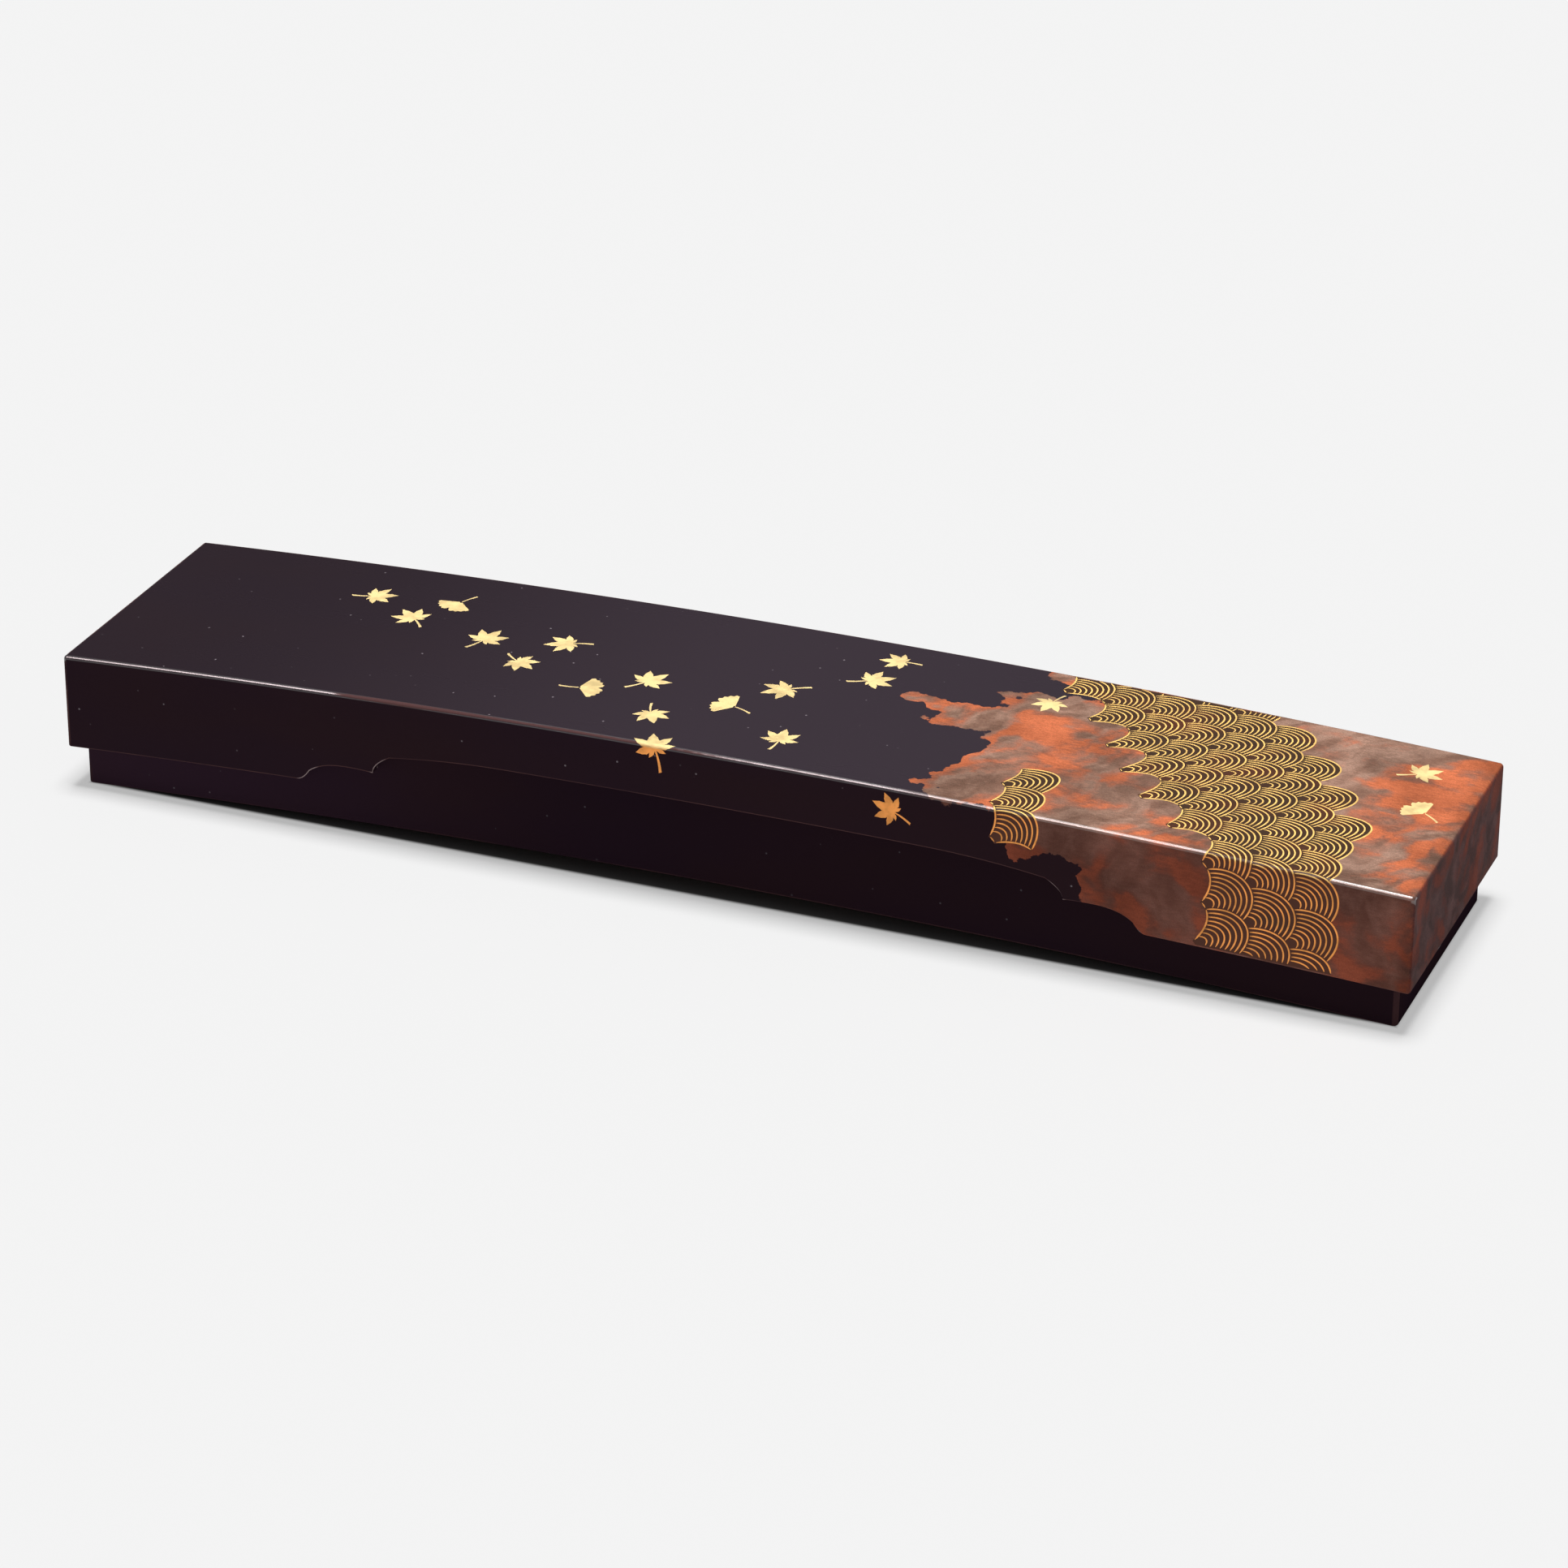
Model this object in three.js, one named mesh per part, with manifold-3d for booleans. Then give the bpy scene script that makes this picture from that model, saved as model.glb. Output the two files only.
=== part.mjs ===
// A long lidded box for poetry slips, in lacquered wood: a deep over-fitting lid on a lower box, both
// bowed lengthwise like a shallow bridge. Each is a frame of four mitred walls round or under a thin
// board. Millimetres, X along the box, -Y the front, +Z up, the floor at Z = 0 under the middle.
import * as THREE from "three";
import { mergeVertices } from "three/addons/utils/BufferGeometryUtils.js";
import Module from "manifold-3d";

// Lid, outside
const lidLength = 394;
const lidWidth = 87;
const lidDepth = 28.3; // from the top down to the rim at the two ends
const lidWall = 3.6;
const lidBoard = 4;
const arrisRadius = 1.1; // along the top's four edges
const lidCorner = 1.1; // upright corners

// Box
const boxWall = 4;
const boxBoard = 4;
const boxCorner = 0.9;
const boxShown = 12.6; // wall left in sight below the lid's rim at the ends
const boardReveal = 1; // the bottom board stands this far above the walls' feet
const grooveDepth = 1.5; // how far the bottom board is let into each wall

// The bow of the whole piece, measured on the box's feet
const bowRise = 5;
const bowStep = 8; // longest straight run that stands for the bow

// Cut-out along the lid's two long rims, from the middle of the box outwards
const cutLift = 12.6; // the middle run above the rim
const cutFlat = 62; // half the level middle run
const shoulderOut = 96; // where the long run turns down
const shoulderLift = 10.6;
const cuspOut = 101.2; // the inner notch
const cuspLift = 5.3;
const lobeOut = 110; // crest of the small lobe
const lobeLift = 5.8;
const footOut = 124.6; // the outer notch, where the full-depth rim begins
const footEase = 7.5; // length of the rise from the foot

// Joinery
const fitGap = 0.35; // running gap between the lid's walls and the box
const glueLine = 0.3; // between glued faces, and under the lid where it rests
const socketGap = 0.15; // round a spline, a pin or the let-in board
const splineWidth = 3;
const splineThickness = 1;
const splineStop = 4; // wood left above and below each spline
const pinRadius = 0.9;
const pinLength = 9;
const pinTip = 1.6;
const pinInBoard = 2.6;
const pinShares = [-0.75, -0.25, 0.25, 0.75]; // along each long wall, of half the lid's length
const pinSides = 12;

const cutOverrun = 2;
const skinLift = 0.03; // keeps two cutting faces from lying in each other
const weldDistance = 0.0001;
const arcSteps = 6;

// Worked out
const half = (size) => size / 2;
const boxInset = lidWall + fitGap;
const boxLength = lidLength - boxInset * 2;
const boxWidth = lidWidth - boxInset * 2;
const rimHeight = boxShown;
const lidTop = rimHeight + lidDepth;
const lidUnder = lidTop - lidBoard;
const lidWallTop = lidUnder - glueLine;
const boxWallTop = lidUnder - glueLine;
const bowRadius = half(boxLength) ** 2 / (2 * bowRise) + half(bowRise);

// Height of the bow's curve at a place along the box, 0 at the box's two feet.
const bowLift = (x) => Math.sqrt(bowRadius ** 2 - x ** 2) - (bowRadius - bowRise);

const wasm = await Module();
wasm.setup();

function solid(geometry) {
  const bare = geometry.clone().deleteAttribute("normal").deleteAttribute("uv");
  const merged = mergeVertices(bare, weldDistance);
  const mesh = new wasm.Mesh({
    numProp: 3,
    vertProperties: merged.attributes.position.array,
    triVerts: new Uint32Array(merged.index.array),
  });
  return new wasm.Manifold(mesh);
}

function geometryOf(manifold) {
  const mesh = manifold.getMesh();
  const geometry = new THREE.BufferGeometry();
  geometry.setAttribute("position", new THREE.BufferAttribute(mesh.vertProperties, mesh.numProp));
  geometry.setIndex(new THREE.BufferAttribute(mesh.triVerts, 1));
  const flat = geometry.toNonIndexed();
  flat.computeVertexNormals();
  return flat;
}

// Extrudes an outline drawn in X and Z from yLow to yHigh.
function extrudeAcross(points, yLow, yHigh) {
  const options = { depth: yHigh - yLow, bevelEnabled: false };
  const geometry = new THREE.ExtrudeGeometry(new THREE.Shape(points), options);
  return geometry.rotateX(Math.PI / 2).translate(0, yHigh, 0);
}

// Extrudes an outline drawn in X and Y from zLow to zHigh.
function extrudeUp(points, zLow, zHigh) {
  const options = { depth: zHigh - zLow, bevelEnabled: false };
  return new THREE.ExtrudeGeometry(new THREE.Shape(points), options).translate(0, 0, zLow);
}

// Extrudes an outline drawn in Y and Z along the box, and bows it.
function extrudeAlong(points, halfLength) {
  const steps = Math.ceil((halfLength * 2) / bowStep);
  const options = { depth: halfLength * 2, steps, bevelEnabled: false };
  const geometry = new THREE.ExtrudeGeometry(new THREE.Shape(points), options);
  const turn = new THREE.Matrix4().makeBasis(
    new THREE.Vector3(0, 1, 0),
    new THREE.Vector3(0, 0, 1),
    new THREE.Vector3(1, 0, 0),
  );
  geometry.applyMatrix4(turn).translate(-halfLength, 0, 0);
  const place = geometry.attributes.position;
  for (let i = 0; i < place.count; i++) place.setZ(i, place.getZ(i) + bowLift(place.getX(i)));
  return geometry;
}

// Points of a run of heights bowed along the box, with steps short enough to follow the bow.
function bowed(run) {
  const points = [];
  run.forEach((point, i) => {
    const next = run[i + 1] ?? point;
    const count = Math.max(1, Math.ceil(Math.abs(next.x - point.x) / bowStep));
    for (let k = 0; k < count; k++) {
      const x = point.x + ((next.x - point.x) * k) / count;
      const height = point.y + ((next.y - point.y) * k) / count;
      points.push(new THREE.Vector2(x, height + bowLift(x)));
    }
  });
  return points;
}

// Outline in X and Z between a lower and an upper run, the lower one from left to right.
const between = (lower, upper) => [...bowed(lower), ...bowed(upper).reverse()];
const level = (halfLength, height) => [
  new THREE.Vector2(-halfLength, height),
  new THREE.Vector2(halfLength, height),
];

// The plan of one wall with mitred ends: its outer face lies at +Y of the plan.
function mitredPlan(length, width, wall) {
  const outer = half(length) - glueLine * Math.SQRT1_2;
  return [
    new THREE.Vector2(-outer, half(width)),
    new THREE.Vector2(-(outer - wall), half(width) - wall),
    new THREE.Vector2(outer - wall, half(width) - wall),
    new THREE.Vector2(outer, half(width)),
  ];
}

// The right-hand half of the lid's long rim: heights above the end rim, from the middle outwards.
function rimHalf() {
  const path = new THREE.Path();
  path.moveTo(0, cutLift);
  path.lineTo(cutFlat, cutLift);
  path.quadraticCurveTo((cutFlat + shoulderOut) / 2, cutLift, shoulderOut, shoulderLift);
  path.quadraticCurveTo(cuspOut, (shoulderLift + cuspLift) / 2, cuspOut, cuspLift);
  path.quadraticCurveTo((cuspOut + lobeOut) / 2, lobeLift, lobeOut, lobeLift);
  path.quadraticCurveTo(footOut - footEase, lobeLift, footOut - footEase / 2, lobeLift / 2);
  path.quadraticCurveTo(footOut - footEase / 4, 0, footOut, 0);
  path.lineTo(half(lidLength), 0);
  return path.getPoints(arcSteps).map((p) => new THREE.Vector2(p.x, p.y + rimHeight));
}

function longRim() {
  const right = rimHalf();
  const left = right.slice(1).map((p) => new THREE.Vector2(-p.x, p.y));
  return [...left.reverse(), ...right];
}

// Turns a piece made at the back, or at the right-hand end, round to the other side.
const faceAbout = (manifold) => manifold.rotate([0, 0, 180]);

// A spline across one mitre, with its corner at (x, y) and grown by a gap all round.
function spline(length, width, wall, zLow, zHigh, signX, signY, gap) {
  const w = half(splineWidth) + gap;
  const t = half(splineThickness) + gap;
  const plan = [
    new THREE.Vector2(-w, -t),
    new THREE.Vector2(w, -t),
    new THREE.Vector2(w, t),
    new THREE.Vector2(-w, t),
  ];
  const x = signX * (half(length) - half(wall));
  const y = signY * (half(width) - half(wall));
  const bar = extrudeUp(plan, zLow - gap, zHigh + gap);
  return solid(bar.rotateZ((-signX * signY * Math.PI) / 4).translate(x, y, 0));
}

// A double-pointed pin standing on end, from its lower point up.
function pin(gap) {
  const r = pinRadius + gap;
  const profile = [
    new THREE.Vector2(0, -gap),
    new THREE.Vector2(r, pinTip - gap),
    new THREE.Vector2(r, pinLength - pinTip + gap),
    new THREE.Vector2(0, pinLength + gap),
  ];
  return new THREE.LatheGeometry(profile, pinSides).rotateX(Math.PI / 2);
}

const lacquer = new THREE.MeshStandardMaterial({ color: 0x2a1f24, roughness: 0.3, metalness: 0 });
const timber = new THREE.MeshStandardMaterial({ color: 0xcaa878, roughness: 0.8, metalness: 0 });
const bamboo = new THREE.MeshStandardMaterial({ color: 0xd9c48c, roughness: 0.7, metalness: 0 });

function piece(parent, name, manifold, material) {
  const mesh = new THREE.Mesh(geometryOf(manifold), material);
  mesh.name = name;
  parent.add(mesh);
}

// An upright block with rounded corners, as large as a whole frame of walls.
function roundedBlock(length, width, radius, low, high) {
  const x = half(length) - radius;
  const y = half(width) - radius;
  const shape = new THREE.Shape();
  shape.absarc(x, y, radius, 0, Math.PI / 2);
  shape.absarc(-x, y, radius, Math.PI / 2, Math.PI);
  shape.absarc(-x, -y, radius, Math.PI, (3 * Math.PI) / 2);
  shape.absarc(x, -y, radius, (3 * Math.PI) / 2, 2 * Math.PI);
  const points = shape.getPoints(arcSteps).slice(0, -1);
  return solid(extrudeUp(points, low, high));
}

// Four mitred walls. The long ones come from an outline in X and Z, the short ones are straight.
function frameWalls(length, width, wall, corner, longOutline, endLow, endHigh) {
  const high = endHigh + bowRise + cutOverrun;
  const block = roundedBlock(length, width, corner, -cutOverrun, high);
  const backPlan = solid(extrudeUp(mitredPlan(length, width, wall), -cutOverrun, high));
  const backSlab = solid(extrudeAcross(longOutline, half(width) - wall, half(width)));
  const back = backSlab.intersect(backPlan).intersect(block);
  const endPlan = extrudeUp(mitredPlan(width, length, wall), endLow, endHigh);
  const right = solid(endPlan.rotateZ(-Math.PI / 2)).intersect(block);
  return { back, front: faceAbout(back), right, left: faceAbout(right) };
}

const corners = [
  ["front_left", "front", "left", -1, -1],
  ["front_right", "front", "right", 1, -1],
  ["back_left", "back", "left", -1, 1],
  ["back_right", "back", "right", 1, 1],
];

function addSplines(group, prefix, walls, length, width, wall, zLow, zHigh) {
  for (const [corner, along, end, signX, signY] of corners) {
    const at = (gap) => spline(length, width, wall, zLow, zHigh, signX, signY, gap);
    walls[along] = walls[along].subtract(at(socketGap));
    walls[end] = walls[end].subtract(at(socketGap));
    piece(group, `${prefix}_spline_${corner}`, at(0), timber);
  }
}

function addWalls(group, prefix, walls) {
  for (const side of ["front", "back", "left", "right"])
    piece(group, `${prefix}_${side}_wall`, walls[side], lacquer);
}

// The lid: a board with rounded arrises, pinned down on a frame of walls.
function makeLid() {
  const group = new THREE.Group();
  const walls = frameWalls(
    lidLength,
    lidWidth,
    lidWall,
    lidCorner,
    between(longRim(), level(half(lidLength), lidWallTop)),
    rimHeight + bowLift(half(lidLength)),
    lidWallTop + bowLift(half(lidLength)),
  );
  const splineLow = rimHeight + splineStop;
  const splineHigh = lidWallTop - splineStop;
  addSplines(group, "lid", walls, lidLength, lidWidth, lidWall, splineLow, splineHigh);

  let board = lidBoardSolid();
  const pinPlan = [];
  pinShares.forEach((share, i) => {
    const x = share * half(lidLength);
    pinPlan.push([`front_${i + 1}`, "front", x, -half(lidWidth) + half(lidWall)]);
    pinPlan.push([`back_${i + 1}`, "back", x, half(lidWidth) - half(lidWall)]);
  });
  pinPlan.push(["left", "left", -half(lidLength) + half(lidWall), 0]);
  pinPlan.push(["right", "right", half(lidLength) - half(lidWall), 0]);
  for (const [place, side, x, y] of pinPlan) {
    const z = lidUnder + pinInBoard - pinLength + bowLift(x);
    const at = (gap) => solid(pin(gap).translate(x, y, z));
    board = board.subtract(at(socketGap));
    walls[side] = walls[side].subtract(at(socketGap));
    piece(group, `lid_pin_${place}`, at(0), bamboo);
  }
  piece(group, "lid_top_board", board, lacquer);
  addWalls(group, "lid", walls);
  return group;
}

// The top board: rounded along its long edges by one extrusion and at its ends by the other.
function lidBoardSolid() {
  const arc = (centreX, centreZ, from, to) =>
    new THREE.Path().absarc(centreX, centreZ, arrisRadius, from, to).getPoints(arcSteps);
  const roundTop = (halfSize, low, high) => [
    new THREE.Vector2(-halfSize, low),
    new THREE.Vector2(halfSize, low),
    ...arc(halfSize - arrisRadius, high - arrisRadius, 0, Math.PI / 2),
    ...arc(-halfSize + arrisRadius, high - arrisRadius, Math.PI / 2, Math.PI),
  ];
  const endLine = roundTop(half(lidLength), lidUnder, lidTop);
  const upper = endLine.slice(2).reverse();
  const alongProfile = between(level(half(lidLength), lidUnder), upper);
  const ends = solid(extrudeAcross(alongProfile, -half(lidWidth), half(lidWidth)));
  const acrossProfile = roundTop(half(lidWidth), lidUnder - cutOverrun, lidTop + skinLift);
  const sides = solid(extrudeAlong(acrossProfile, half(lidLength) + cutOverrun));
  const high = lidTop + bowRise + cutOverrun;
  return ends.intersect(sides).intersect(roundedBlock(lidLength, lidWidth, lidCorner, 0, high));
}

// The box: four mitred walls with a bottom board let into a groove all round.
function makeBox() {
  const group = new THREE.Group();
  const walls = frameWalls(
    boxLength,
    boxWidth,
    boxWall,
    boxCorner,
    between(level(half(boxLength), 0), level(half(boxLength), boxWallTop)),
    0,
    boxWallTop,
  );
  const splineLow = boardReveal + boxBoard + splineStop;
  const splineHigh = boxWallTop - splineStop;
  addSplines(group, "box", walls, boxLength, boxWidth, boxWall, splineLow, splineHigh);

  const board = (gap) => {
    const halfX = half(boxLength) - boxWall + grooveDepth - socketGap + gap;
    const halfY = half(boxWidth) - boxWall + grooveDepth - socketGap + gap;
    const low = boardReveal - gap;
    const high = boardReveal + boxBoard + gap;
    return solid(extrudeAcross(between(level(halfX, low), level(halfX, high)), -halfY, halfY));
  };
  for (const side of Object.keys(walls)) walls[side] = walls[side].subtract(board(socketGap));
  piece(group, "box_bottom_board", board(0), lacquer);
  addWalls(group, "box", walls);
  return group;
}

const slipBox = new THREE.Group();
slipBox.add(makeBox(), makeLid());

export default slipBox;
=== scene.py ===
"""Looks of a long lacquered slip box: two bowed frames in black lacquer, a marbled end and a gold drawing."""

import math
from functools import partialmethod

import bmesh
import bpy
from mathutils import Matrix, Vector


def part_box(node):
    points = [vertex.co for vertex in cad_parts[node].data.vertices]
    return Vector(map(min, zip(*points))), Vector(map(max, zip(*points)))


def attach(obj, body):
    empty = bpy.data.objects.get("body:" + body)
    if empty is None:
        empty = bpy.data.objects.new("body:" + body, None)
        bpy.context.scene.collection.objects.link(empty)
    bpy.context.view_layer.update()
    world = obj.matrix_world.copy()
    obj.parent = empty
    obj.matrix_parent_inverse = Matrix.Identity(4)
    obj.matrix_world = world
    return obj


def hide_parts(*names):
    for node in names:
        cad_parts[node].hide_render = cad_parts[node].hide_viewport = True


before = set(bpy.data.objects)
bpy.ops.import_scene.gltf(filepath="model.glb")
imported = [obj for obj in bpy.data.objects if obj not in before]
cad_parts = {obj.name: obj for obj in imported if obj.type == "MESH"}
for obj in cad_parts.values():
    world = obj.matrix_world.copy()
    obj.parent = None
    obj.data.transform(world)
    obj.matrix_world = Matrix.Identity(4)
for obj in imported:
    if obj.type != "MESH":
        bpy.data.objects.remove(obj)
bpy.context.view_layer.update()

bl_info = {
    "name": "Slip Box Looks",
    "version": (1, 0, 0),
    "blender": (4, 5, 0),
    "location": "View3D > Sidebar > Slip Box",
    "description": "Dresses the solids of a lidded slip box in lacquer with a gold drawing",
    "category": "Object",
}

MM = 0.001
PROUD = 0.06 * MM  # the drawing stands this far out of the lacquer, level with the solids' faces
WELD = 1e-4 * MM  # cuts and joins take points nearer than this as one
LEVEL = 1e-3 * MM  # heights of a ring and points of the drawing this near are the same

# How many faces each rounding has
CORNER_FACES = 8
RIM_FACES = 3
LIP_FACES = 4

# Sizes read from the frame
board_low, board_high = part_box("lid_top_board")
lid_end_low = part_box("lid_right_wall")[0]
lid_side_low, lid_side_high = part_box("lid_back_wall")
box_end_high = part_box("box_right_wall")[1]
box_side_low, box_side_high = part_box("box_back_wall")

BOX_X = box_end_high.x
BOW_RISE = box_side_high.z - box_end_high.z
BOW_RADIUS = BOX_X**2 / (2 * BOW_RISE) + BOW_RISE / 2


def bow(x):
    """Height of the bow's curve at a place along the box, 0 at its two feet."""
    return math.sqrt(BOW_RADIUS**2 - x**2) - (BOW_RADIUS - BOW_RISE)


LID_X = board_high.x - PROUD
LID_Y = board_high.y - PROUD
LID_TOP = board_high.z - BOW_RISE - PROUD
LID_UNDER = board_low.z - bow(board_high.x)
LID_RIM = lid_end_low.z - bow(board_high.x)
LID_WALL = lid_side_high.y - lid_side_low.y - PROUD
BOX_Y = box_side_high.y
BOX_TOP = box_end_high.z
BOX_WALL = box_side_high.y - box_side_low.y
LID_END = LID_X / MM
LID_SIDE = LID_Y / MM


# Settings that a user would change


class SlipBoxShape(bpy.types.PropertyGroup):
    """Roundings of the edges and the curve of the lid's cut-out rim."""

    def length(name, description, size):
        """A length property with its default in millimetres."""
        return bpy.props.FloatProperty(
            name=name, description=description, default=size * MM, min=0, unit="LENGTH", precision=5
        )

    arris: length("Arris", "Radius along the four edges of the lid's top", 1.1)
    lid_corner: length("Lid corner", "Radius of the lid's upright corners", 1.1)
    box_corner: length("Box corner", "Radius of the box's upright corners", 1.5)
    rim_round: length("Rim rounding", "Radius on the lid's rim", 0.45)
    foot_round: length("Foot rounding", "Radius on the box's lower edges", 0.5)
    lip_round: length("Lip rounding", "Radius on the box's upper edges", 0.8)
    station: length("Station", "Longest straight run that stands for the bow", 8)
    cut_lift: length("Cut lift", "Middle run of the cut-out above the rim", 12.6)
    cut_flat: length("Cut flat", "Half the level middle run", 62)
    shoulder_out: length("Shoulder out", "Where the long run turns down", 96)
    shoulder_lift: length("Shoulder lift", "Height of the shoulder", 10.6)
    cusp_out: length("Cusp out", "Inner notch of the cut-out", 101.2)
    cusp_lift: length("Cusp lift", "Height of the inner notch", 5.3)
    lobe_out: length("Lobe out", "Crest of the small lobe", 110)
    lobe_lift: length("Lobe lift", "Height of the small lobe", 5.8)
    foot_out: length("Foot out", "Outer notch, where the deep rim begins", 124.6)
    foot_ease: length("Foot ease", "Length of the rise from the deep rim", 7.5)


class SlipBoxColours(bpy.types.PropertyGroup):
    """Colours of the lacquers, the gold and the bare wood."""

    def colour(name, description, red, green, blue):
        """A colour property in linear values."""
        return bpy.props.FloatVectorProperty(
            name=name, description=description, subtype="COLOR", default=(red, green, blue), min=0, max=1
        )

    plum: colour("Plum black", "Black lacquer with a plum cast", 0.0205, 0.0092, 0.0153)
    brown: colour("Brown black", "Warmer patches in the black lacquer", 0.0232, 0.0101, 0.0134)
    # Haze is painted sheen: the black lacquer's top is made lighter and greyer, where it catches the light.
    painted_top_sheen: colour("Haze", "The black lacquer's top, greyed by handling", 0.0236, 0.0175, 0.0228)
    worn: colour("Worn edge", "Red-brown under-lacquer that shows at worn edges", 0.088, 0.041, 0.04)
    rust: colour("Rust", "Orange-red of the marbled lacquer", 0.465, 0.13, 0.058)
    ember: colour("Ember", "Darker red of the marbled lacquer", 0.32, 0.1, 0.055)
    ash: colour("Ash", "Lighter grey-brown of the marbled lacquer", 0.315, 0.19, 0.14)
    umber: colour("Umber", "Darker grey-brown of the marbled lacquer", 0.185, 0.1, 0.07)
    # Rubbed edge is a painted glint: pale highlights painted on the slopes of the lid's rim.
    glint: colour("Rubbed edge", "Pale rubbed slopes of the lid's rim", 0.36, 0.27, 0.27)
    russet: colour("Russet", "Even brown of the marbled lacquer on the lid's sides", 0.25, 0.122, 0.082)
    olive: colour("Olive ground", "Dark ground under the wave lines", 0.05, 0.027, 0.016)
    stain: colour("Stain", "Reddish patches under the wave lines", 0.1, 0.03, 0.015)
    gold: colour("Gold", "Pale gold powder of the leaves", 0.87, 0.66, 0.3)
    line_gold: colour("Line gold", "Deeper gold powder of the wave lines", 0.95, 0.6, 0.18)
    # Copper gold is painted shade: the gold of the lid's sides, redder and darker where less light falls.
    painted_side_gold: colour("Copper gold", "Redder gold powder on the lid's sides", 0.98, 0.42, 0.11)
    # Inside: a brown lacquer, made lighter to stand in for light in the box's shaded inside.
    inside: colour("Inside", "Lacquer inside the box", 0.13, 0.072, 0.064)
    dust: colour("Dust", "Pale specks in the lacquer", 0.21, 0.18, 0.2)
    timber: colour("Timber", "Bare softwood", 0.55, 0.38, 0.2)
    bamboo: colour("Bamboo", "Bare bamboo", 0.62, 0.5, 0.26)
    floor: colour("Floor", "Pale floor", 0.3, 0.3, 0.3)


# Mesh helpers


def bevel_edges(bm, edges, radius, segments):
    """Rounds edges and marks the new faces as rounded."""
    rounded = bm.faces.layers.int.get("rounded") or bm.faces.layers.int.new("rounded")
    made = bmesh.ops.bevel(
        bm, geom=edges, offset=radius, offset_type="OFFSET", segments=segments, profile=0.5,
        affect="EDGES", material=-1, clamp_overlap=True,
    )
    for face in made["faces"]:
        face[rounded] = 1
    bm.normal_update()


def mark_wear(bm):
    """Marks the points that lie inside a rounding, where lacquer wears through."""
    rounded = bm.faces.layers.int.get("rounded")
    wear = bm.verts.layers.float.new("wear")
    for vert in bm.verts:
        vert[wear] = float(all(face[rounded] for face in vert.link_faces))


def bisect(bm, point, normal, clear_outer=False):
    """Cuts a mesh along a plane, and clears the side that the normal points to if asked."""
    geometry = bm.verts[:] + bm.edges[:] + bm.faces[:]
    bmesh.ops.bisect_plane(
        bm, geom=geometry, dist=WELD, plane_co=point, plane_no=normal, clear_outer=clear_outer
    )


def cut_at(bm, place, axis):
    """Adds an edge loop all round where a plane square to X (axis 0) or Y (axis 1) crosses the mesh."""
    normal = Vector((0, 0, 0))
    normal[axis] = 1
    bisect(bm, normal * place, normal)


def pull_out(bm, distance):
    """Extrudes all faces up by a distance, or down by a negative one, and keeps the old ones."""
    made = bmesh.ops.extrude_face_region(bm, geom=bm.faces[:], use_keep_orig=True)
    verts = [item for item in made["geom"] if isinstance(item, bmesh.types.BMVert)]
    bmesh.ops.translate(bm, vec=(0, 0, distance), verts=verts)


def bend(bm):
    """Lifts every point by the bow."""
    for vert in bm.verts:
        vert.co.z += bow(vert.co.x)


def as_mesh(bm, name):
    """Turns a bmesh into a mesh and frees it."""
    mesh = bpy.data.meshes.new(name)
    bm.to_mesh(mesh)
    bm.free()
    return mesh


def add_object(name, data):
    """Adds an object with its data to the scene."""
    item = bpy.data.objects.new(name, data)
    bpy.context.scene.collection.objects.link(item)
    return item


def finish_piece(bm, name, material, body, nodes=(), sharp_deg=35):
    """Turns a bmesh into a finished piece that rides on a body and stands for the named nodes."""
    bmesh.ops.recalc_face_normals(bm, faces=bm.faces[:])
    mesh = as_mesh(bm, name)
    mesh.shade_smooth()
    mesh.set_sharp_from_angle(angle=math.radians(sharp_deg))
    mesh.materials.append(material)
    piece = add_object(name, mesh)
    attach(piece, body)
    if nodes:
        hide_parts(*nodes)
    return piece


def weigh_normals(piece):
    """Keeps the broad faces' shading flat beside their rounded edges."""
    modifier = piece.modifiers.new("flat faces", "WEIGHTED_NORMAL")
    modifier.mode = "FACE_AREA"
    modifier.weight = 60
    modifier.keep_sharp = True


def give_material(piece, material):
    """Gives a carried-over solid one material all over."""
    piece.data.materials.clear()
    piece.data.materials.append(material)


# The lid's rim curve


def quadratic(start, control, end, steps=8):
    """Points of a quadratic curve after its start."""
    shares = [i / steps for i in range(1, steps + 1)]
    return [start * (1 - t) ** 2 + control * 2 * t * (1 - t) + end * t * t for t in shares]


def rim_curve(shape):
    """Right half of the long rim as points of distance out and lift above the end rim."""
    points = [Vector((0, shape.cut_lift)), Vector((shape.cut_flat, shape.cut_lift))]
    bends = (
        ((shape.cut_flat + shape.shoulder_out) / 2, shape.cut_lift),
        (shape.shoulder_out, shape.shoulder_lift),
        (shape.cusp_out, (shape.shoulder_lift + shape.cusp_lift) / 2), (shape.cusp_out, shape.cusp_lift),
        ((shape.cusp_out + shape.lobe_out) / 2, shape.lobe_lift), (shape.lobe_out, shape.lobe_lift),
        (shape.foot_out - shape.foot_ease, shape.lobe_lift),
        (shape.foot_out - shape.foot_ease / 2, shape.lobe_lift / 2),
        (shape.foot_out - shape.foot_ease / 4, 0), (shape.foot_out, 0),
    )
    for control, end in zip(bends[::2], bends[1::2]):
        points += quadratic(points[-1], Vector(control), Vector(end))
    return points


def rim_lift(x, curve):
    """Lift of the long rim at a place along the lid."""
    out = abs(x)
    for low, high in zip(curve, curve[1:]):
        if out <= high.x:
            share = (out - low.x) / max(high.x - low.x, WELD)
            return low.y + (high.y - low.y) * share
    return 0


def stations(half_length, step, curve=()):
    """Places along the box where its long faces are divided: even steps, and the rim curve's points."""
    count = math.ceil(half_length / step)
    kept = {round(point.x, 9) for point in curve if point.x > 0}
    for i in range(count):
        x = half_length * i / count
        if all(abs(x - other) > step / 5 for other in kept):
            kept.add(x)
    return sorted({sign * x for x in kept for sign in (-1, 1)})


# Boards and walls


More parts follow.
